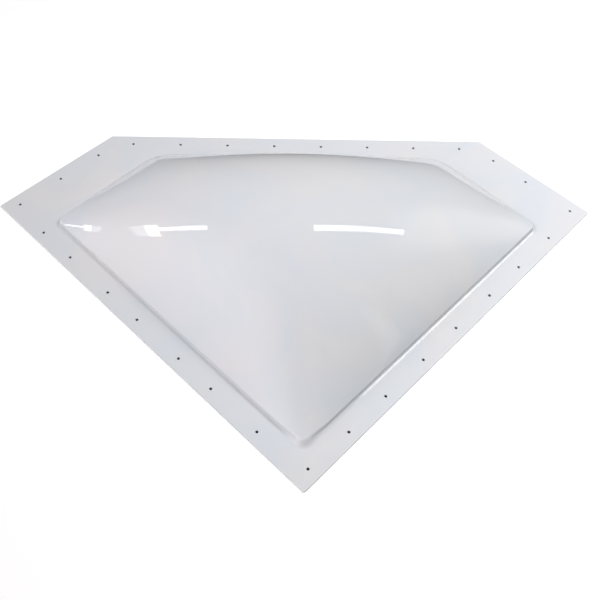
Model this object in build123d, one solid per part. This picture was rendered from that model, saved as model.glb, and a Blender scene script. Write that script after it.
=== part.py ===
from build123d import *
import math
import os

import numpy as np

# Neo-angle roof skylight: one white translucent sheet, a flat drilled flange round a blown dome.
# In plan it is a square set corner-on to the front (-Y), with its rear corner cut straight across.
# Two long sides meet at the front corner, two short sides follow them, and the rear side joins those.
# Sizes are in millimetres. The origin is on the underside of the flange, at the middle of the plan.
# Outlines and holes are drawn along the two long sides, and then turned to the part's own axes.

# Sheet
SHEET = 3.2             # thickness as bought, kept by the flat flange
CROWN_SHEET = 2.4       # thickness left at the crown, where blowing stretches it most

# Foot of the dome
FOOT_LONG = 611.0       # each long side, from sharp corner to sharp corner
FOOT_SHORT = 232.0      # each short side
FOOT_CORNER_R = 13.0

# Flange width, from the foot to the cut edge
LONG_FLANGE = 49.0
SHORT_FLANGE = 102.0
REAR_FLANGE = 53.0
FLANGE_CORNER_R = 2.5

# Shoulder that the clamping ring presses between the flange and the blown film
FLANGE_BEND_R = 3.0     # bend from flange to shoulder, on the outside
SHOULDER_BEND_R = 4.0   # bend from shoulder to film, on the outside; inside it is a sharp press line
SHOULDER_FLAT = 0.4     # straight wall left between the two bends

# Blown film
FILM_RISE = 118.0       # crown above the shoulder
FILM_REAR_COUNT = 24    # steps across half of the rear side
FILM_SHORT_COUNT = 15   # steps across a short side
FILM_MARGIN_COUNT = 3   # steps beyond the foot
FILM_PASS_COUNT = 4000
FILM_TOLERANCE = 0.1

# Screw holes. On each long side some were marked out, and one more was drilled by eye between each two.
HOLE_D = 4.8
LONG_HOLE_INSET = 18.0
LONG_HOLE_FIRST = 117.0     # from the front corner to the first marked hole
LONG_HOLE_LAST = 105.0      # from the last marked hole to the far corner
LONG_HOLE_COUNT = 4
LEFT_BETWEEN_SHARE = 0.575  # place of the hole between, as a share of the pitch of the marked ones
RIGHT_BETWEEN_SHARE = 0.48
SHORT_HOLE_INSET = 22.0
LEFT_SHORT_SHARES = (0.457, 0.80)   # places along the left short side, from the side corner
RIGHT_SHORT_SHARES = (0.50, 0.80)
REAR_HOLE_INSET = 20.5
REAR_HOLE_END = 42.5        # from the end of the rear side to its first hole
REAR_HOLE_COUNT = 8
SIDE_CORNER_INSETS = (26.5, 22.5)   # hole at each side corner, from the long side and the short side
FRONT_CORNER_INSETS = (30.0, 21.0)  # hole at the front corner, from the left and the right long side

OVERRUN = 10.0              # of every cutting body

# The drawing axes p and q run along the right and the left long side from the front corner.
SQUARE_TURN_DEG = 45.0
DIAGONAL = math.sqrt(2)
FOOT_FRONT = DIAGONAL * LONG_FLANGE     # from the front corner of the flange to that of the foot
SHOULDER_RISE = FLANGE_BEND_R + SHOULDER_FLAT + SHOULDER_BEND_R
FILM_LEVEL = SHEET + SHOULDER_RISE
FLANGE_LONG = LONG_FLANGE + FOOT_LONG + SHORT_FLANGE
FLANGE_SHORT = LONG_FLANGE + FOOT_SHORT + DIAGONAL * REAR_FLANGE - SHORT_FLANGE
FLANGE_REAR = DIAGONAL * (FLANGE_LONG - FLANGE_SHORT)
DEPTH = (FLANGE_LONG + FLANGE_SHORT) / DIAGONAL
FRONT_TRIM = FLANGE_CORNER_R * (DIAGONAL - 1)   # length that the rounding takes off the front corner


def cut_square(corner, long_side, short_side, corner_r):
    """Square from its front corner at (corner, corner), rear corner cut off, the rest rounded."""
    far, near = corner + long_side, corner + short_side
    points = [(corner, corner), (far, corner), (far, near), (near, far), (corner, far)]
    outline = Polygon(*points, align=None)
    return Rot(0, 0, SQUARE_TURN_DEG) * fillet(outline.vertices(), corner_r)


def blown_film():
    """Places across and along the foot, and heights there, of a film held at it and blown by even pressure.

    Such a film has the same mean curvature all over. Each pass sets every point from its four neighbours,
    and from the pressure that holds the crown at FILM_RISE. Past the foot the film runs on as its own
    reflection, so that it crosses the foot smoothly.
    """
    rear, side = (FOOT_LONG - FOOT_SHORT) / DIAGONAL, FOOT_LONG / DIAGONAL
    widest = FILM_REAR_COUNT + FILM_SHORT_COUNT
    last = widest + FILM_SHORT_COUNT
    right = np.concatenate([
        np.linspace(0, rear, FILM_REAR_COUNT + 1)[:-1],
        np.linspace(rear, side, FILM_SHORT_COUNT + 1),
    ])
    across = np.concatenate([-right[:0:-1], right])
    along = np.concatenate([right, 2 * side - right[-2:FILM_REAR_COUNT - 1:-1]])
    odd = {"mode": "reflect", "reflect_type": "odd"}
    across, along = np.pad(across, FILM_MARGIN_COUNT, **odd), np.pad(along, FILM_MARGIN_COUNT, **odd)

    # Steps from the middle and from the front corner, of each point and of the point that it reflects
    out, back = np.indices((across.size, along.size)) - FILM_MARGIN_COUNT
    out = np.abs(out - widest)
    sign = np.ones(out.shape)
    for _ in range(FILM_MARGIN_COUNT):
        rear_of = back > last
        back, sign = np.where(rear_of, 2 * last - back, back), np.where(rear_of, -sign, sign)
        front_of = out > back
        out, back = np.where(front_of, np.abs(back), out), np.where(front_of, out, back)
        outside = out + back > 2 * widest
        out, back = np.where(outside, 2 * widest - back, out), np.where(outside, 2 * widest - out, back)
        sign = np.where(front_of != outside, -sign, sign)
    held = (out == back) | (out + back == 2 * widest) | (back == last)
    sign = np.where(held, 0, sign)
    source = out + widest + FILM_MARGIN_COUNT, back + FILM_MARGIN_COUNT

    def pulls(places):
        before = np.diff(places, prepend=2 * places[0] - places[1])
        after = np.diff(places, append=2 * places[-1] - places[-2])
        return 2 / (before * (before + after)), 2 / (after * (before + after))

    left_pull, right_pull = (pull[:, None] for pull in pulls(across))
    front_pull, rear_pull = pulls(along)
    z = FILM_RISE * sign
    for _ in range(FILM_PASS_COUNT):
        slope_x, slope_y = np.gradient(z, across, along)
        twist = np.gradient(slope_x, along, axis=1)
        stiff_x, stiff_y = 1 + slope_y**2, 1 + slope_x**2
        next_x = left_pull * np.roll(z, 1, 0) + right_pull * np.roll(z, -1, 0)
        next_y = front_pull * np.roll(z, 1, 1) + rear_pull * np.roll(z, -1, 1)
        own = stiff_x * (left_pull + right_pull) + stiff_y * (front_pull + rear_pull)
        tension = (stiff_x * next_x + stiff_y * next_y - 2 * slope_x * slope_y * twist) / own
        pressure = (stiff_x + slope_x**2) ** 1.5 / own
        crown = np.unravel_index(np.argmax(z), z.shape)
        blown = tension + pressure * (FILM_RISE - tension[crown]) / pressure[crown]
        z = (z + sign * blown[source]) / 2
    return across, along, z


def film_face(across, along, z, rim_depth, crown_depth):
    """Surface through the film, moved inward square to it by a depth that changes with its height."""
    slope_x, slope_y = np.gradient(z, across, along)
    depth = rim_depth + (crown_depth - rim_depth) * np.clip(z / FILM_RISE, 0, 1)
    depth = depth / np.sqrt(1 + slope_x**2 + slope_y**2)
    x = across[:, None] + slope_x * depth
    y = FOOT_FRONT + along + slope_y * depth
    points = np.stack([x, y, FILM_LEVEL + z - depth], axis=-1).tolist()
    rows = [[Vector(*point) for point in line] for line in points]
    return Face.make_surface_from_array_of_points(rows, tol=FILM_TOLERANCE, min_deg=3, max_deg=3)


def dome(outline, film, bottom):
    """Solid over an outline, from a bottom level up to a film."""
    height = FILM_LEVEL + FILM_RISE + OVERRUN
    block = extrude(Pos(0, 0, bottom) * outline, height - bottom)
    return block - extrude(film, 2 * height, dir=(0, 0, 1))


def foot_edges(solid, outline, level):
    """Edges of a solid that follow an outline at a level."""
    wire = outline.face().outer_wire().moved(Pos(0, 0, level))
    return [edge for edge in solid.edges() if all(
        wire.distance_to(edge.position_at(share)) < FILM_TOLERANCE for share in (0, 0.5, 1)
    )]


def hole_centres():
    """Centres of the screw holes along p and q."""
    pitch = (FLANGE_LONG - LONG_HOLE_FIRST - LONG_HOLE_LAST) / (LONG_HOLE_COUNT - 1)
    marked = [LONG_HOLE_FIRST + pitch * i for i in range(LONG_HOLE_COUNT)]
    left = marked + [place + LEFT_BETWEEN_SHARE * pitch for place in marked[:-1]]
    right = marked + [place + RIGHT_BETWEEN_SHARE * pitch for place in marked[:-1]]
    centres = [FRONT_CORNER_INSETS]
    centres += [(LONG_HOLE_INSET, place) for place in left]
    centres += [(place, LONG_HOLE_INSET) for place in right]

    short_line = FLANGE_LONG - SHORT_HOLE_INSET
    centres += [(share * FLANGE_SHORT, short_line) for share in LEFT_SHORT_SHARES]
    centres += [(short_line, share * FLANGE_SHORT) for share in RIGHT_SHORT_SHARES]
    from_long, from_short = SIDE_CORNER_INSETS
    centres += [(from_long, FLANGE_LONG - from_short), (FLANGE_LONG - from_short, from_long)]

    rear_line = (FLANGE_LONG + FLANGE_SHORT) / 2 - REAR_HOLE_INSET / DIAGONAL
    rear_pitch = (FLANGE_REAR - 2 * REAR_HOLE_END) / (REAR_HOLE_COUNT - 1)
    for i in range(REAR_HOLE_COUNT):
        across = (i - (REAR_HOLE_COUNT - 1) / 2) * rear_pitch / DIAGONAL
        centres.append((rear_line + across, rear_line - across))
    return centres


def skylight_sheet():
    film = blown_film()
    blank = cut_square(0, FLANGE_LONG, FLANGE_SHORT, FLANGE_CORNER_R)
    foot = cut_square(LONG_FLANGE, FOOT_LONG, FOOT_SHORT, FOOT_CORNER_R)
    hollow = cut_square(
        LONG_FLANGE + SHEET, FOOT_LONG - 2 * SHEET, FOOT_SHORT - DIAGONAL * SHEET, FOOT_CORNER_R - SHEET
    )

    blown = dome(foot, film_face(*film, 0, 0), 0)
    top = blown.faces().filter_by(GeomType.BSPLINE)[0]
    sheet = extrude(blank, SHEET) + fillet(top.outer_wire().edges(), SHOULDER_BEND_R)
    sheet = fillet(foot_edges(sheet, foot, SHEET), FLANGE_BEND_R)
    sheet -= dome(hollow, film_face(*film, SHEET, CROWN_SHEET), -OVERRUN)
    sheet = fillet(foot_edges(sheet, hollow, 0), FLANGE_BEND_R + SHEET)

    drill = Cylinder(HOLE_D / 2, SHEET + 2 * OVERRUN)
    turn = Rot(0, 0, SQUARE_TURN_DEG)
    sheet -= [turn * Pos(p, q, SHEET / 2) * drill for p, q in hole_centres()]
    return Pos(0, -(DEPTH + FRONT_TRIM) / 2, 0) * sheet


os.makedirs("parts", exist_ok=True)
export_step(skylight_sheet(), "parts/skylight_sheet.step")
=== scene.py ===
import math

import bpy
import numpy as np
from mathutils import Matrix, Quaternion, Vector
from mathutils.geometry import delaunay_2d_cdt


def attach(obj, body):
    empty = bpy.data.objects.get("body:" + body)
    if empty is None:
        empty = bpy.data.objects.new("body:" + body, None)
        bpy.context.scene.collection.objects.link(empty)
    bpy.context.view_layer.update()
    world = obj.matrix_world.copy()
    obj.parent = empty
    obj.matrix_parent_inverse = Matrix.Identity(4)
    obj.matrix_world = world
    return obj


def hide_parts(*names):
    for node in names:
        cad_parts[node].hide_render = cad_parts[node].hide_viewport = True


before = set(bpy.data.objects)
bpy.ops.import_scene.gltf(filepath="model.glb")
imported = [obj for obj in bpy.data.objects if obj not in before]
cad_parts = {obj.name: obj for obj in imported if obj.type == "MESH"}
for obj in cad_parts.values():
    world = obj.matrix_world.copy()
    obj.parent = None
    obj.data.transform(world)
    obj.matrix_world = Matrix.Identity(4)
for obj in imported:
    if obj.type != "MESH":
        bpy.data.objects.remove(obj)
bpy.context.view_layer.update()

# Neo-angle roof skylight: one milky sheet, a flat satin flange with screw holes round a glossy blown dome.
# Lengths are in metres. The front corner points to -Y, and z is 0 on the underside of the flange.
# Outlines and holes are drawn along the two long sides, and then turned to the part's own axes.

NODE = "skylight_sheet"

# Sheet, foot of the dome and flange
SHEET = 0.0032
CROWN_SHEET = 0.0024
FOOT_LONG = 0.611
FOOT_SHORT = 0.232
FOOT_CORNER_R = 0.013
FOOT_REAR_CORNER_R = 0.070  # drawn rounder by the blown sheet
LONG_FLANGE = 0.049
SHORT_FLANGE = 0.102
REAR_FLANGE = 0.053
FLANGE_CORNER_R = 0.0025

# Shoulder and blown film
FLANGE_BEND_R = 0.003
SHOULDER_BEND_R = 0.004
SHOULDER_FLAT = 0.0004
FILM_RISE = 0.118
FILM_REAR_COUNT = 24
FILM_SHORT_COUNT = 15
FILM_MARGIN_COUNT = 3
FILM_PASS_COUNT = 4000

# Lift of the flange where the blown sheet draws it up, beside the long sides of the foot
LIFT_WIDTH = 0.005
LIFT_RAMP = 0.70            # share of the width over which the tilt grows
LIFT_RATE = math.radians(27)  # tilt gained over a metre of a long side
LIFT_START = 0.215          # along a long side, from the front corner of the foot
LIFT_LOW = math.radians(-1.5)
LIFT_HIGH = math.radians(10.5)
LIFT_TURN = 0.95            # cosine of the turn away from a long side at which the lift ends
LIFT_FRONT_REACH = 0.025    # over which the lift grows from the front corner

# Where the shoulder eases into a slope: at the front corner, the short sides and the rear corners
SOFT_FRONT_SHARE = 0.9
SOFT_FRONT_REACH = 0.032
SOFT_SIDE_REACH = 0.07
SOFT_REAR_REACH = 0.07
SOFT_INSET = 0.007          # from the foot to where the slope meets the film
SOFT_DULL = 0.75            # share of the gloss that the slope loses

# Screw holes
HOLE_D = 0.0048
LONG_HOLE_INSET = 0.018
LONG_HOLE_FIRST = 0.117
LONG_HOLE_LAST = 0.105
LONG_HOLE_COUNT = 4
LEFT_BETWEEN_SHARE = 0.575
RIGHT_BETWEEN_SHARE = 0.48
SHORT_HOLE_INSET = 0.022
LEFT_SHORT_SHARES = (0.457, 0.80)
RIGHT_SHORT_SHARES = (0.50, 0.80)
REAR_HOLE_INSET = 0.0205
REAR_HOLE_END = 0.0425
REAR_HOLE_COUNT = 8
SIDE_CORNER_INSETS = (0.0265, 0.0225)
FRONT_CORNER_INSETS = (0.030, 0.021)

# Edges broken by a file, and how much of the painted shade made for them cut edges and bends take
EDGE_BREAK = 0.0004
HOLE_BREAK = 0.0002
PRESS_LINE_BREAK = 0.0003
SAWN_EDGE_SHADE = 0.1              # share of painted shade on the outer sawn edge
# share of painted shade on the drilled walls, which darkens the holes
DRILLED_WALL_SHADE = 1.0
BEND_CREASE_SHADE = 0.15          # share of painted crease shade in the flange bend

# Mesh steps
FOOT_ARC_STEPS = 7          # half a corner of the foot
FOOT_SIDE_STEPS = 37        # half a side of the foot
EDGE_ARC_STEPS = 4
EDGE_SIDE_STEPS = 8
LIFT_STEPS = 8
BEND_STEPS = 6
HOLE_STEPS = 24
CONTACT_PASS_COUNT = 12
INSIDE_LOOPS = 1            # output type of delaunay_2d_cdt
WELD_DISTANCE = 1e-9

DIAGONAL = math.sqrt(2)
FOOT_FRONT = DIAGONAL * LONG_FLANGE
FILM_LEVEL = SHEET + FLANGE_BEND_R + SHOULDER_FLAT + SHOULDER_BEND_R
FLANGE_LONG = LONG_FLANGE + FOOT_LONG + SHORT_FLANGE
FLANGE_SHORT = LONG_FLANGE + FOOT_SHORT + DIAGONAL * REAR_FLANGE - SHORT_FLANGE
FLANGE_REAR = DIAGONAL * (FLANGE_LONG - FLANGE_SHORT)
DEPTH = (FLANGE_LONG + FLANGE_SHORT) / DIAGONAL
FRONT_TRIM = FLANGE_CORNER_R * (DIAGONAL - 1)
PLAN_FRONT = -(DEPTH + FRONT_TRIM) / 2
UP = np.array([0.0, 0.0, 1.0])
# Corner radii, in turn from the front corner to the right
FOOT_RADII = (FOOT_CORNER_R, FOOT_CORNER_R, FOOT_REAR_CORNER_R, FOOT_REAR_CORNER_R, FOOT_CORNER_R)
FLANGE_RADII = (FLANGE_CORNER_R,) * len(FOOT_RADII)

# Camera
CAMERA_PLACE = (-0.0530, -0.7753, 1.1160)
CAMERA_AIM = (-0.0007, -0.0200, 0.0)
CAMERA_ROLL_DEG = 3.717
CAMERA_LENS_MM = 47.74
SENSOR_MM = 36

# Ceiling lamps that the dome mirrors: middle along x and y, size, turn in degrees and radiance
CEILING = 2.5
CEILING_LAMPS = {
    "strip_left": ((-2.68, 1.53), (1.46, 0.20), -8, 8.0),
    "strip_right": ((1.46, 1.37), (2.28, 0.22), 6, 8.0),
    "panel_left": ((-3.60, 1.60), (0.40, 0.66), -6, 8.0),
    "panel_left_dim": ((-3.98, 1.62), (0.30, 0.62), -6, 2.6),
}
# Lamps that light the sheet and don't show in it: azimuth and elevation in degrees, distance and radiance
SOFT_LAMPS = {
    "soft_right": (74, 60, 2.0, 4.6),
}
SOFT_LAMP_SIZE = (1.5, 1.5)
# Tall narrow window at the right, which the right flank mirrors as a faint streak
WINDOW_PLACE = (2.8, -1.03, 1.5)
WINDOW_AIM = (0.1, -0.12, 0.05)
WINDOW_SIZE = (0.22, 2.6)
WINDOW_RADIANCE = 0.8

# Soft glows of the room: azimuth from +Y towards +X, elevation and half width in degrees,
# and radiance in red, green and blue
ROOM_GLOWS = (
    (253, 24, 60, (2.20, 2.09, 2.13)),
    (60, 29, 21, (1.22, 1.22, 1.14)),
)
BACKDROP = (0.93, 0.93, 0.935, 1)

# Ground
FLOOR_REACH = 2.0
FLOOR_STEPS = 96
FLOOR_COLOUR = (0.97, 0.97, 0.97, 1)
FLOOR_GLOW = 0.1
SHADE_INSET = 0.010         # inset from the sheet's edge of the dark patch of painted shade under the sheet
SHADE_LIFT = 0.0003
SHADE_COLOUR = (0.04, 0.04, 0.043, 1)

# Sheet material
MILK_COOL = (0.605, 0.638, 0.676, 1)
MILK_WARM = (0.650, 0.650, 0.666, 1)
# Painted shade: grey for the flange bends, and for the cut edges and drilled walls
CREASE_SHADE_COLOUR = (0.40, 0.41, 0.43, 1)
CUT_SHADE_COLOUR = (0.42, 0.43, 0.44, 1)
CLOUD_SCALE = 7.0
CLOUD_DETAIL = 3
CLOUD_TWIST = 0.8
CLOUD_LOW = 0.34
CLOUD_HIGH = 0.66
FLANGE_ROUGHNESS = 0.44
FILM_ROUGHNESS = 0.02
SMEAR_SCALE = 34.0
SMEAR_DETAIL = 4
SMEAR_ROUGHNESS = 0.025
WAVE_SCALE = 16.0
WAVE_DETAIL = 1
WAVE_DEPTH = 0.00008
SHEET_IOR = 1.49
# Colour sockets of the Mix node
MIX_FIRST = 6
MIX_SECOND = 7
MIX_RESULT = 2


def to_plan(drawn):
    """Plan places, in the part's axes, of places drawn along the right and the left long side."""
    p, q = np.asarray(drawn, float).T
    return np.stack([(p - q) / DIAGONAL, (p + q) / DIAGONAL + PLAN_FRONT], axis=1)


def hole_centres():
    pitch = (FLANGE_LONG - LONG_HOLE_FIRST - LONG_HOLE_LAST) / (LONG_HOLE_COUNT - 1)
    marked = [LONG_HOLE_FIRST + pitch * i for i in range(LONG_HOLE_COUNT)]
    left = marked + [place + LEFT_BETWEEN_SHARE * pitch for place in marked[:-1]]
    right = marked + [place + RIGHT_BETWEEN_SHARE * pitch for place in marked[:-1]]
    centres = [FRONT_CORNER_INSETS]
    centres += [(LONG_HOLE_INSET, place) for place in left]
    centres += [(place, LONG_HOLE_INSET) for place in right]

    short_line = FLANGE_LONG - SHORT_HOLE_INSET
    centres += [(share * FLANGE_SHORT, short_line) for share in LEFT_SHORT_SHARES]
    centres += [(short_line, share * FLANGE_SHORT) for share in RIGHT_SHORT_SHARES]
    from_long, from_short = SIDE_CORNER_INSETS
    centres += [(from_long, FLANGE_LONG - from_short), (FLANGE_LONG - from_short, from_long)]

    rear_line = (FLANGE_LONG + FLANGE_SHORT) / 2 - REAR_HOLE_INSET / DIAGONAL
    rear_pitch = (FLANGE_REAR - 2 * REAR_HOLE_END) / (REAR_HOLE_COUNT - 1)
    for i in range(REAR_HOLE_COUNT):
        across = (i - (REAR_HOLE_COUNT - 1) / 2) * rear_pitch / DIAGONAL
        centres.append((rear_line + across, rear_line - across))
    return to_plan(centres)


def blown_film():
    """Places across and along the foot, and heights there, of a film held at it and blown by even pressure.

    Such a film has the same mean curvature all over. Each pass sets every point from its four neighbours,
    and from the pressure that holds the crown at FILM_RISE. Past the foot the film runs on as its own
    reflection, so that it crosses the foot smoothly.
    """
    rear, side = (FOOT_LONG - FOOT_SHORT) / DIAGONAL, FOOT_LONG / DIAGONAL
    widest = FILM_REAR_COUNT + FILM_SHORT_COUNT
    last = widest + FILM_SHORT_COUNT
    right = np.concatenate([
        np.linspace(0, rear, FILM_REAR_COUNT + 1)[:-1],
        np.linspace(rear, side, FILM_SHORT_COUNT + 1),
    ])
    across = np.concatenate([-right[:0:-1], right])
    along = np.concatenate([right, 2 * side - right[-2:FILM_REAR_COUNT - 1:-1]])
    odd = {"mode": "reflect", "reflect_type": "odd"}
    across, along = np.pad(across, FILM_MARGIN_COUNT, **odd), np.pad(along, FILM_MARGIN_COUNT, **odd)

    # Steps from the middle and from the front corner, of each point and of the point that it reflects
    out, back = np.indices((across.size, along.size)) - FILM_MARGIN_COUNT
    out = np.abs(out - widest)
    sign = np.ones(out.shape)
    for _ in range(FILM_MARGIN_COUNT):
        rear_of = back > last
        back, sign = np.where(rear_of, 2 * last - back, back), np.where(rear_of, -sign, sign)
        front_of = out > back
        out, back = np.where(front_of, np.abs(back), out), np.where(front_of, out, back)
        outside = out + back > 2 * widest
        out, back = np.where(outside, 2 * widest - back, out), np.where(outside, 2 * widest - out, back)
        sign = np.where(front_of != outside, -sign, sign)
    held = (out == back) | (out + back == 2 * widest) | (back == last)
    sign = np.where(held, 0, sign)
    source = out + widest + FILM_MARGIN_COUNT, back + FILM_MARGIN_COUNT

    def pulls(places):
        before = np.diff(places, prepend=2 * places[0] - places[1])
        after = np.diff(places, append=2 * places[-1] - places[-2])
        return 2 / (before * (before + after)), 2 / (after * (before + after))

    left_pull, right_pull = (pull[:, None] for pull in pulls(across))
    front_pull, rear_pull = pulls(along)
    z = FILM_RISE * sign
    for _ in range(FILM_PASS_COUNT):
        slope_x, slope_y = np.gradient(z, across, along)
        twist = np.gradient(slope_x, along, axis=1)
        stiff_x, stiff_y = 1 + slope_y**2, 1 + slope_x**2
        next_x = left_pull * np.roll(z, 1, 0) + right_pull * np.roll(z, -1, 0)
        next_y = front_pull * np.roll(z, 1, 1) + rear_pull * np.roll(z, -1, 1)
        own = stiff_x * (left_pull + right_pull) + stiff_y * (front_pull + rear_pull)
        tension = (stiff_x * next_x + stiff_y * next_y - 2 * slope_x * slope_y * twist) / own
        pressure = (stiff_x + slope_x**2) ** 1.5 / own
        crown = np.unravel_index(np.argmax(z), z.shape)
        blown = tension + pressure * (FILM_RISE - tension[crown]) / pressure[crown]
        z = (z + sign * blown[source]) / 2
    return across, along, z


def hermite(share, step):
    """Weights of the heights and the slopes at the two ends of a step, and how those weights change."""
    square, cube = share**2, share**3
    weights = [
        [1 - 3 * square + 2 * cube, 3 * square - 2 * cube],
        [(share - 2 * square + cube) * step, (cube - square) * step],
    ]
    changes = [
        [(6 * square - 6 * share) / step, (6 * share - 6 * square) / step],
        [1 - 4 * share + 3 * square, 3 * square - 2 * share],
    ]
    return weights, changes


class Film:
    """The blown film as a smooth surface over the plan."""

    def __init__(self):
        self.across, self.along, z = blown_film()
        slope_x, slope_y = np.gradient(z, self.across, self.along)
        twist = np.gradient(slope_x, self.along, axis=1)
        self.along = self.along + FOOT_FRONT + PLAN_FRONT
        self.knots = {(0, 0): z, (1, 0): slope_x, (0, 1): slope_y, (1, 1): twist}

    def at(self, plan):
        """Rise above the shoulder, and the slopes along x and y, at places in plan."""
        x, y = plan.T
        i = np.clip(np.searchsorted(self.across, x) - 1, 0, self.across.size - 2)
        j = np.clip(np.searchsorted(self.along, y) - 1, 0, self.along.size - 2)
        step_x = self.across[i + 1] - self.across[i]
        step_y = self.along[j + 1] - self.along[j]
        weight_x, change_x = hermite((x - self.across[i]) / step_x, step_x)
        weight_y, change_y = hermite((y - self.along[j]) / step_y, step_y)
        found = np.zeros((3, len(plan)))
        for (kind_x, kind_y), knots in self.knots.items():
            for end_x in (0, 1):
                for end_y in (0, 1):
                    found += knots[i + end_x, j + end_y] * np.array([
                        weight_x[kind_x][end_x] * weight_y[kind_y][end_y],
                        change_x[kind_x][end_x] * weight_y[kind_y][end_y],
                        weight_x[kind_x][end_x] * change_y[kind_y][end_y],
                    ])
        return found

    def skin(self, plan, rim_depth, crown_depth):
        """Places and upward normals of the film over a plan, moved inward square to it by a depth."""
        rise, slope_x, slope_y = self.at(plan)
        normals = np.stack([-slope_x, -slope_y, np.ones(len(plan))], axis=1)
        normals /= np.linalg.norm(normals, axis=1, keepdims=True)
        depth = rim_depth + (crown_depth - rim_depth) * np.clip(rise / FILM_RISE, 0, 1)
        places = np.column_stack([plan, FILM_LEVEL + rise]) - normals * depth[:, None]
        return places, normals

    def contact(self, foot, outward, radius):
        """Plan places where a ball of this radius, rolling inside the foot's wall, touches the film.

        The sine of the film's slope there comes with them.
        """
        sine = np.zeros(len(foot))
        for _ in range(CONTACT_PASS_COUNT):
            plan = foot - outward * (radius * (1 - sine))[:, None]
            rise, slope_x, slope_y = self.at(plan)
            slope = -(slope_x * outward[:, 0] + slope_y * outward[:, 1])
            sine = slope / np.sqrt(1 + slope**2)
        return plan, sine


def closing(share):
    """Share of a way, in steps that get shorter towards its end."""
    return (share + np.sin(np.pi / 2 * share)) / 2


def outline(front, long_side, short_side, corner_radii, arc_steps, side_steps):
    """Plan places round a rounded five-sided outline, and the outward direction at each.

    They go from the middle of a side to the middle of the next, closer together near the corner.
    """
    far, near = front + long_side, front + short_side
    corners = to_plan([(front, front), (far, front), (far, near), (near, far), (front, far)])
    share = np.arange(side_steps)[:, None] / side_steps
    places, directions = [], []
    ring = zip(corners, np.roll(corners, 1, 0), np.roll(corners, -1, 0), corner_radii)
    for corner, before, after, corner_r in ring:
        into = (corner - before) / np.linalg.norm(corner - before)
        on = (after - corner) / np.linalg.norm(after - corner)
        turn = math.acos(into @ on)
        cut = corner_r * math.tan(turn / 2)
        arc_start, arc_end = corner - into * cut, corner + on * cut
        side_before, side_after = (before + corner) / 2, (corner + after) / 2
        out_before = np.array([into[1], -into[0]])
        out_after = np.array([on[1], -on[0]])
        angle = turn * np.arange(2 * arc_steps)[:, None] / (2 * arc_steps)
        out_arc = out_before * np.cos(angle) + into * np.sin(angle)
        places.append(side_before + (arc_start - side_before) * closing(share))
        places.append(arc_start + (out_arc - out_before) * corner_r)
        places.append(arc_end + (side_after - arc_end) * (1 - closing(1 - share)))
        directions += [np.tile(out_before, (side_steps, 1)), out_arc, np.tile(out_after, (side_steps, 1))]
    return np.concatenate(places), np.concatenate(directions)


def panel(ring, steps):
    """Plan places and quads of five patches that fill a ring and meet at its middle.

    The ring comes first among the places. Each patch is blended from its four border lines.
    """
    middle = ring[::2 * steps].mean(0)
    share = 1 - closing(1 - np.arange(steps + 1)[:, None] / steps)
    spokes = [side + (middle - side) * share for side in ring[::2 * steps]]
    inner = steps - 1
    spoke_start = len(ring)
    middle_index = spoke_start + len(spokes) * inner
    places = [ring] + [spoke[1:-1] for spoke in spokes] + [middle[None]]
    quads = []
    along = np.arange(steps + 1)[:, None, None] / steps
    inward = np.arange(steps + 1)[None, :, None] / steps
    patch_start = middle_index + 1
    for i, spoke in enumerate(spokes):
        after = (i + 1) % len(spokes)
        grid = np.zeros((steps + 1, steps + 1), int)
        grid[:, 0] = (2 * steps * i + np.arange(steps + 1)) % len(ring)
        grid[-1, :] = (2 * steps * i + steps + np.arange(steps + 1)) % len(ring)
        grid[0, 1:-1] = spoke_start + i * inner + np.arange(inner)
        grid[1:-1, -1] = spoke_start + after * inner + np.arange(inner)[::-1]
        grid[0, -1] = middle_index
        grid[1:-1, 1:-1] = patch_start + np.arange(inner**2).reshape(inner, inner)
        patch_start += inner**2

        rim, side = ring[grid[:, 0]][:, None], ring[grid[-1, :]][None]
        near_spoke, far_spoke = spoke[None], spokes[after][::-1][:, None]
        blend = (1 - inward) * rim + inward * far_spoke + (1 - along) * near_spoke + along * side
        blend -= (1 - along) * ((1 - inward) * rim[0] + inward * middle)
        blend -= along * ((1 - inward) * rim[-1] + inward * side[0, -1])
        places.append(blend[1:-1, 1:-1].reshape(-1, 2))
        corners = grid[:-1, :-1], grid[1:, :-1], grid[1:, 1:], grid[:-1, 1:]
        quads.append(np.stack(corners, axis=-1).reshape(-1, 4))
    return np.concatenate(places), np.concatenate(quads)


class Build:
    """Points with their own normals, and the faces between them, for one mesh."""

    def __init__(self):
        self.places, self.normals, self.faces = [], [], []
        self.marks = {"gloss": [], "crease": [], "cut": []}
        self.count = 0

    def points(self, places, normals, **marks):
        """Indices of new points. Gloss marks the film, the crease mark is painted shade in the bend, and
        the cut mark is painted shade on a sawn or drilled wall.
        """
        number = len(places)
        self.places.append(places)
        self.normals.append(np.broadcast_to(normals, (number, 3)))
        for name, values in self.marks.items():
            values.append(np.broadcast_to(marks.get(name, 0), number))
        self.count += number
        return np.arange(self.count - number, self.count)

    def quads(self, corners, flip=False):
        self.faces += (corners[:, ::-1] if flip else corners).tolist()

    def loft(self, rows, flip=False):
        """Quads between closed rows of points, one after the other."""
        for row, after in zip(rows, rows[1:]):
            corners = row, np.roll(row, -1), np.roll(after, -1), after
            self.quads(np.stack(corners, axis=1), flip)

    def mesh(self, name):
        data = bpy.data.meshes.new(name)
        data.from_pydata(np.concatenate(self.places).tolist(), [], self.faces)
        data.shade_smooth()
        for mark, values in self.marks.items():
            layer = data.attributes.new(mark, "FLOAT", "POINT")
            layer.data.foreach_set("value", np.concatenate(values).astype(np.float32))
        data.normals_split_custom_set_from_vertices(np.concatenate(self.normals).tolist())
        return data


def at_level(plan, level):
    return np.column_stack([plan, np.broadcast_to(level, len(plan))])


def tilted(outward, up_share, out_share):
    """Directions between straight up and straight outward."""
    level_part = outward * np.reshape(out_share, (-1, 1))
    return np.column_stack([level_part, np.broadcast_to(up_share, len(outward))])


def full_turn(steps):
    """Directions in plan, evenly spaced round a full turn."""
    angle = 2 * np.pi * np.arange(steps) / steps
    return np.column_stack([np.cos(angle), np.sin(angle)])


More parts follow.
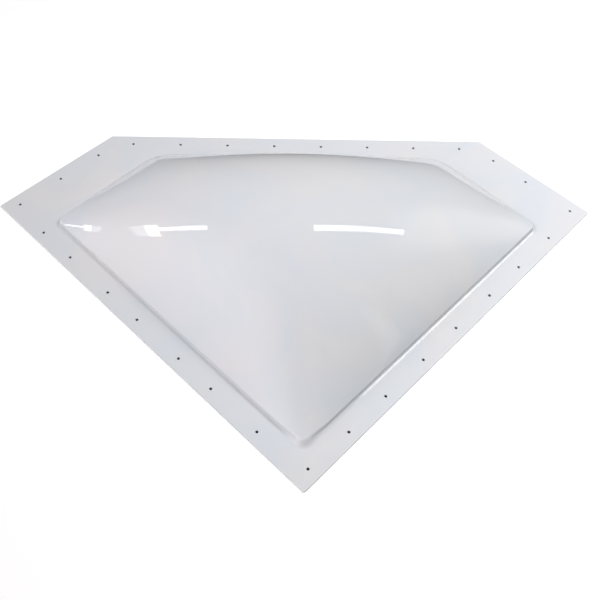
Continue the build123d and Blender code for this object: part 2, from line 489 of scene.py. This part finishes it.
def eased(value, start, end):
    """Smooth step from 0 at the start to 1 at the end."""
    share = np.clip((value - start) / (end - start), 0, 1)
    return share**2 * (3 - 2 * share)


def lift_tilt(foot, outward):
    """Angle of the lifted flange round the foot, which grows along the long sides."""
    along_long = (np.abs(outward[:, 0]) - outward[:, 1]) / DIAGONAL
    from_front = foot[:, 1] - foot[:, 1].min()
    tilt = np.clip(LIFT_RATE * (from_front * DIAGONAL - LIFT_START), LIFT_LOW, LIFT_HIGH)
    return tilt * eased(along_long, LIFT_TURN, 1) * eased(from_front, 0, LIFT_FRONT_REACH)


def softness(foot, outward):
    """Share by which the shoulder is eased into a slope, round the foot."""
    from_middle = np.abs(foot[:, 0])
    from_front = foot[:, 1] - foot[:, 1].min()
    widest = from_middle.max()
    rear = (FOOT_LONG - FOOT_SHORT) / DIAGONAL
    short = eased(from_middle, widest, widest - SOFT_SIDE_REACH)
    short *= eased(from_middle, rear - SOFT_REAR_REACH, rear)
    front = SOFT_FRONT_SHARE * (1 - eased(from_front, 0, SOFT_FRONT_REACH))
    return np.where(outward[:, 1] > 0, short, front)


def shoulder_rows(film, foot, outward):
    """Rows from the flange to the film, and how far inside the foot the film starts.

    Each row has a distance outward of the foot, a level, a tilt, a gloss and a share of painted crease
    shade.
    """
    count = len(foot)
    tilt = lift_tilt(foot, outward)
    rows = []
    for share in np.linspace(0, 1, LIFT_STEPS + 1):
        offset = np.full(count, FLANGE_BEND_R + LIFT_WIDTH * (1 - share))
        ramp = min(share, LIFT_RAMP)
        lift = tilt * LIFT_WIDTH * (ramp**2 / (2 * LIFT_RAMP) + share - ramp)
        rows.append((offset, SHEET + lift, tilt * ramp / LIFT_RAMP, ramp / LIFT_RAMP, 0))
    for angle in np.linspace(0, np.pi / 2, BEND_STEPS + 1)[1:]:
        offset = np.full(count, FLANGE_BEND_R * (1 - math.sin(angle)))
        level = SHEET + lift + (FLANGE_BEND_R - lift) * (1 - math.cos(angle))
        # painted shade in the crease, deepest halfway round the flange bend
        rows.append((offset, level, np.full(count, angle), 1, BEND_CREASE_SHADE * math.sin(2 * angle)))

    plan, sine = film.contact(foot, outward, SHOULDER_BEND_R)
    rim_level = FILM_LEVEL + film.at(plan)[0]
    for share in np.arange(BEND_STEPS) / BEND_STEPS:
        angle = share * (np.pi / 2 - np.arcsin(sine))
        offset = SHOULDER_BEND_R * (np.cos(angle) - 1)
        level = rim_level + SHOULDER_BEND_R * (np.sin(angle) - np.sqrt(1 - sine**2))
        rows.append((offset, level, np.pi / 2 - angle, 1, 0))
    return rows, SHOULDER_BEND_R * (1 - sine)


def outer_skin(build, film, foot, outward):
    """Upper side from the lifted flange to the crown. Returns the row where the flat flange starts."""
    soft = softness(foot, outward)
    exact_rows, exact_inset = shoulder_rows(film, foot, outward)
    rise, slope_x, slope_y = film.at(foot - outward * SOFT_INSET)
    slope = -(slope_x * outward[:, 0] + slope_y * outward[:, 1])
    start = FLANGE_BEND_R + LIFT_WIDTH
    width = start + SOFT_INSET
    climb = FILM_LEVEL + rise - SHEET
    rows = []
    for i, (offset, level, tilt, gloss, crease) in enumerate(exact_rows):
        share = i / len(exact_rows)
        weights, changes = hermite(share, width)
        soft_level = SHEET + climb * weights[0][1] + slope * weights[1][1]
        soft_tilt = np.arctan(climb * changes[0][1] + slope * changes[1][1])
        offset = offset + (start - width * share - offset) * soft
        level = level + (soft_level - level) * soft
        tilt = tilt + (soft_tilt - tilt) * soft
        places = at_level(foot + outward * offset[:, None], level)
        normals = tilted(outward, np.cos(tilt), np.sin(tilt))
        gloss = gloss * (1 - SOFT_DULL * soft)
        # the painted crease shade fades where the shoulder eases into a slope
        rows.append(build.points(places, normals, gloss=gloss, crease=crease * (1 - soft)))

    inset = exact_inset + (SOFT_INSET - exact_inset) * soft
    places, quads = panel(foot - outward * inset[:, None], FOOT_ARC_STEPS + FOOT_SIDE_STEPS)
    film_points = build.points(*film.skin(places, 0, 0), gloss=1)
    rows.append(film_points[:len(foot)])
    build.loft(rows)
    build.quads(film_points[quads])
    return rows[0]


def inner_skin(build, film, foot, outward):
    """Underside from the flange's bend to the crown. Returns the row where the flat flange starts."""
    rows = []
    bend_r = FLANGE_BEND_R + SHEET
    for angle in np.linspace(0, np.pi / 2, BEND_STEPS + 1):
        plan = foot + outward * (FLANGE_BEND_R - bend_r * math.sin(angle))
        level = bend_r * (1 - math.cos(angle))
        normals = -tilted(outward, math.cos(angle), math.sin(angle))
        rows.append(build.points(at_level(plan, level), normals))

    plan, sine = film.contact(foot, outward, SHEET)
    places, quads = panel(plan, FOOT_ARC_STEPS + FOOT_SIDE_STEPS)
    film_places, film_normals = film.skin(places, SHEET, CROWN_SHEET)
    wall_top = film_places[:len(foot)] - UP * PRESS_LINE_BREAK
    rows.append(build.points(wall_top, -tilted(outward, 0, 1)))
    film_points = build.points(film_places, -film_normals, gloss=1)
    rows.append(film_points[:len(foot)])
    build.loft(rows, flip=True)
    build.quads(film_points[quads], flip=True)
    return rows[0]


def edge_walls(build, plan, outward, edge_break, cut, flip=False):
    """Wall of a cut edge, from underside to top, with its corners broken. Returns its outermost rows."""
    side = tilted(outward, 0, 1)
    inset = plan - outward * edge_break
    rows = [
        build.points(at_level(inset, 0), -UP),
        # the sides of the wall take the given share of painted shade
        build.points(at_level(plan, edge_break), side, cut=cut),
        build.points(at_level(plan, SHEET - edge_break), side, cut=cut),
        build.points(at_level(inset, SHEET), UP),
    ]
    build.loft(rows, flip)
    return rows[0], rows[-1]


def flat_flange(build, loops, flip):
    """Flat triangles between the edge of the sheet, which is the first loop, the foot and the holes."""
    points = np.concatenate(loops)
    owner = np.concatenate([np.full(len(loop), i) for i, loop in enumerate(loops)])
    start = np.cumsum([0] + [len(loop) for loop in loops])
    edges = []
    for first, loop in zip(start, loops):
        edges += [(first + k, first + (k + 1) % len(loop)) for k in range(len(loop))]
    plan = np.concatenate(build.places)[points, :2]
    corners_in = [Vector(place) for place in plan]
    _, _, faces, sources, _, _ = delaunay_2d_cdt(corners_in, edges, [], INSIDE_LOOPS, WELD_DISTANCE)
    source = [ids[0] for ids in sources]
    for face in faces:
        corners = [source[k] for k in face]
        loop = owner[corners]
        if loop[0] == 0 or len(set(loop)) > 1:
            build.faces.append(points[corners[::-1] if flip else corners].tolist())


def skylight_sheet():
    build = Build()
    film = Film()
    foot, outward = outline(
        LONG_FLANGE, FOOT_LONG, FOOT_SHORT, FOOT_RADII, FOOT_ARC_STEPS, FOOT_SIDE_STEPS
    )
    over_foot = outer_skin(build, film, foot, outward)
    under_foot = inner_skin(build, film, foot, outward)
    edge, edge_out = outline(0, FLANGE_LONG, FLANGE_SHORT, FLANGE_RADII, EDGE_ARC_STEPS, EDGE_SIDE_STEPS)
    # the sawn edge takes a little painted shade
    under, over = edge_walls(build, edge, edge_out, EDGE_BREAK, SAWN_EDGE_SHADE)
    under_loops, over_loops = [under, under_foot], [over, over_foot]
    circle = full_turn(HOLE_STEPS)
    for centre in hole_centres():
        hole = centre + circle * HOLE_D / 2
        # the drilled walls take full painted shade, so that the holes look dark
        under, over = edge_walls(build, hole, -circle, HOLE_BREAK, DRILLED_WALL_SHADE, flip=True)
        under_loops.append(under)
        over_loops.append(over)
    flat_flange(build, over_loops, flip=False)
    flat_flange(build, under_loops, flip=True)
    piece = bpy.data.objects.new("milky_sheet", build.mesh("milky_sheet"))
    bpy.context.collection.objects.link(piece)
    return piece


def look_at(place, aim, roll_deg=0):
    """World matrix of a camera or lamp at a place, turned to its aim."""
    direction = Vector(aim) - Vector(place)
    turn = direction.to_track_quat("-Z", "Y") @ Quaternion((0, 0, 1), math.radians(roll_deg))
    return Matrix.LocRotScale(Vector(place), turn, None)


def heading(azimuth_deg, elevation_deg):
    azimuth, elevation = math.radians(azimuth_deg), math.radians(elevation_deg)
    level = math.cos(elevation)
    return Vector((math.sin(azimuth) * level, math.cos(azimuth) * level, math.sin(elevation)))


def add_camera():
    data = bpy.data.cameras.new("camera")
    data.lens = CAMERA_LENS_MM
    data.sensor_width = SENSOR_MM
    camera = bpy.data.objects.new("camera", data)
    camera.matrix_world = look_at(CAMERA_PLACE, CAMERA_AIM, CAMERA_ROLL_DEG)
    bpy.context.collection.objects.link(camera)
    bpy.context.scene.camera = camera


def add_area(name, matrix, size, radiance, mirrored=True):
    """Rectangular lamp whose face has an even radiance."""
    data = bpy.data.lights.new(name, "AREA")
    data.shape = "RECTANGLE"
    data.size, data.size_y = size
    data.energy = radiance * math.pi * size[0] * size[1]
    lamp = bpy.data.objects.new(name, data)
    lamp.matrix_world = matrix
    lamp.visible_glossy = mirrored
    bpy.context.collection.objects.link(lamp)


def add_lights():
    for name, ((x, y), size, turn_deg, radiance) in CEILING_LAMPS.items():
        add_area(name, look_at((x, y, CEILING), (x, y, 0), turn_deg), size, radiance)
    for name, (azimuth, elevation, reach, radiance) in SOFT_LAMPS.items():
        place = heading(azimuth, elevation) * reach
        add_area(name, look_at(place, (0, 0, 0)), SOFT_LAMP_SIZE, radiance, mirrored=False)
    add_area("window_right", look_at(WINDOW_PLACE, WINDOW_AIM), WINDOW_SIZE, WINDOW_RADIANCE)


def add_world():
    """Room of a few soft glows in the dark, behind a plain pale backdrop."""
    world = bpy.data.worlds.new("room")
    bpy.context.scene.world = world
    world.use_nodes = True
    nodes, links = world.node_tree.nodes, world.node_tree.links
    nodes.clear()
    coords = nodes.new("ShaderNodeTexCoord")
    total = None
    for azimuth, elevation, half_width, radiance in ROOM_GLOWS:
        facing = nodes.new("ShaderNodeVectorMath")
        facing.operation = "DOT_PRODUCT"
        facing.inputs[1].default_value = heading(azimuth, elevation)
        share = nodes.new("ShaderNodeMapRange")
        share.interpolation_type = "SMOOTHSTEP"
        share.inputs["From Min"].default_value = math.cos(math.radians(half_width))
        share.inputs["From Max"].default_value = 1
        glow = nodes.new("ShaderNodeVectorMath")
        glow.operation = "SCALE"
        glow.inputs[0].default_value = radiance
        links.new(coords.outputs["Generated"], facing.inputs[0])
        links.new(facing.outputs["Value"], share.inputs["Value"])
        links.new(share.outputs["Result"], glow.inputs["Scale"])
        if total is None:
            total = glow.outputs["Vector"]
            continue
        both = nodes.new("ShaderNodeVectorMath")
        links.new(total, both.inputs[0])
        links.new(glow.outputs["Vector"], both.inputs[1])
        total = both.outputs["Vector"]
    room = nodes.new("ShaderNodeBackground")
    links.new(total, room.inputs["Color"])
    backdrop = nodes.new("ShaderNodeBackground")
    backdrop.inputs["Color"].default_value = BACKDROP
    path = nodes.new("ShaderNodeLightPath")
    shown = nodes.new("ShaderNodeMixShader")
    links.new(path.outputs["Is Camera Ray"], shown.inputs["Fac"])
    links.new(room.outputs[0], shown.inputs[1])
    links.new(backdrop.outputs[0], shown.inputs[2])
    links.new(shown.outputs[0], nodes.new("ShaderNodeOutputWorld").inputs["Surface"])


def matte(name, colour, glow):
    material = bpy.data.materials.new(name)
    material.use_nodes = True
    shader = material.node_tree.nodes["Principled BSDF"]
    shader.inputs["Base Color"].default_value = colour
    shader.inputs["Roughness"].default_value = 1
    shader.inputs["Specular IOR Level"].default_value = 0
    shader.inputs["Emission Color"].default_value = colour
    shader.inputs["Emission Strength"].default_value = glow
    return material


def add_ground(name, plan, level, colour, glow):
    """Flat patch of ground, which isn't part of the object."""
    mesh = bpy.data.meshes.new(name)
    mesh.from_pydata(at_level(plan, level).tolist(), [], [list(range(len(plan)))])
    mesh.materials.append(matte(name, colour, glow))
    ground = bpy.data.objects.new(name, mesh)
    bpy.context.collection.objects.link(ground)
    ground.visible_glossy = False


def add_floor():
    add_ground("floor", FLOOR_REACH * full_turn(FLOOR_STEPS), 0, FLOOR_COLOUR, FLOOR_GLOW)
    shade, _ = outline(
        SHADE_INSET, FLANGE_LONG - 2 * SHADE_INSET, FLANGE_SHORT - DIAGONAL * SHADE_INSET,
        FLANGE_RADII, EDGE_ARC_STEPS, EDGE_SIDE_STEPS,
    )
    # painted shade: a dark patch of ground under the sheet, which shows through the holes
    add_ground("shaded_ground", shade, SHADE_LIFT, SHADE_COLOUR, 0)


def milky():
    """White translucent plastic: a satin flange, a glossy film, and painted shade in the bends and on the
    cut edges and drilled walls.
    """
    material = bpy.data.materials.new("milky_sheet")
    material.use_nodes = True
    nodes, links = material.node_tree.nodes, material.node_tree.links
    shader = nodes["Principled BSDF"]
    coords = nodes.new("ShaderNodeTexCoord")

    def noise(scale, detail, distortion=0):
        node = nodes.new("ShaderNodeTexNoise")
        node.inputs["Distortion"].default_value = distortion
        node.inputs["Scale"].default_value = scale
        node.inputs["Detail"].default_value = detail
        links.new(coords.outputs["Object"], node.inputs["Vector"])
        return node.outputs["Fac"]

    def mark(name):
        node = nodes.new("ShaderNodeAttribute")
        node.attribute_name = name
        return node.outputs["Fac"]

    def mixed(factor, first, second):
        node = nodes.new("ShaderNodeMix")
        node.data_type = "RGBA"
        links.new(factor, node.inputs["Factor"])
        for socket, colour in ((MIX_FIRST, first), (MIX_SECOND, second)):
            if isinstance(colour, tuple):
                node.inputs[socket].default_value = colour
            else:
                links.new(colour, node.inputs[socket])
        return node.outputs[MIX_RESULT]

    def ranged(value, to_low, to_high, from_low=0, from_high=1):
        node = nodes.new("ShaderNodeMapRange")
        node.inputs["From Min"].default_value = from_low
        node.inputs["From Max"].default_value = from_high
        node.inputs["To Min"].default_value = to_low
        node.inputs["To Max"].default_value = to_high
        links.new(value, node.inputs["Value"])
        return node.outputs["Result"]

    cloud = ranged(noise(CLOUD_SCALE, CLOUD_DETAIL, CLOUD_TWIST), 0, 1, CLOUD_LOW, CLOUD_HIGH)
    milk = mixed(cloud, MILK_COOL, MILK_WARM)
    # painted shade: the crease and cut marks mix the milk towards grey
    creased = mixed(mark("crease"), milk, CREASE_SHADE_COLOUR)
    links.new(mixed(mark("cut"), creased, CUT_SHADE_COLOUR), shader.inputs["Base Color"])

    rough = nodes.new("ShaderNodeMath")
    links.new(ranged(mark("gloss"), FLANGE_ROUGHNESS, FILM_ROUGHNESS), rough.inputs[0])
    links.new(ranged(noise(SMEAR_SCALE, SMEAR_DETAIL), 0, SMEAR_ROUGHNESS), rough.inputs[1])
    links.new(rough.outputs[0], shader.inputs["Roughness"])

    wave = nodes.new("ShaderNodeBump")
    wave.inputs["Distance"].default_value = WAVE_DEPTH
    links.new(noise(WAVE_SCALE, WAVE_DETAIL), wave.inputs["Height"])
    links.new(wave.outputs["Normal"], shader.inputs["Normal"])
    shader.inputs["IOR"].default_value = SHEET_IOR
    return material


bpy.context.scene.view_settings.view_transform = "Standard"
add_camera()
add_lights()
add_world()
add_floor()
sheet = skylight_sheet()
sheet.data.materials.append(milky())
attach(sheet, "root")
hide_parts(NODE)
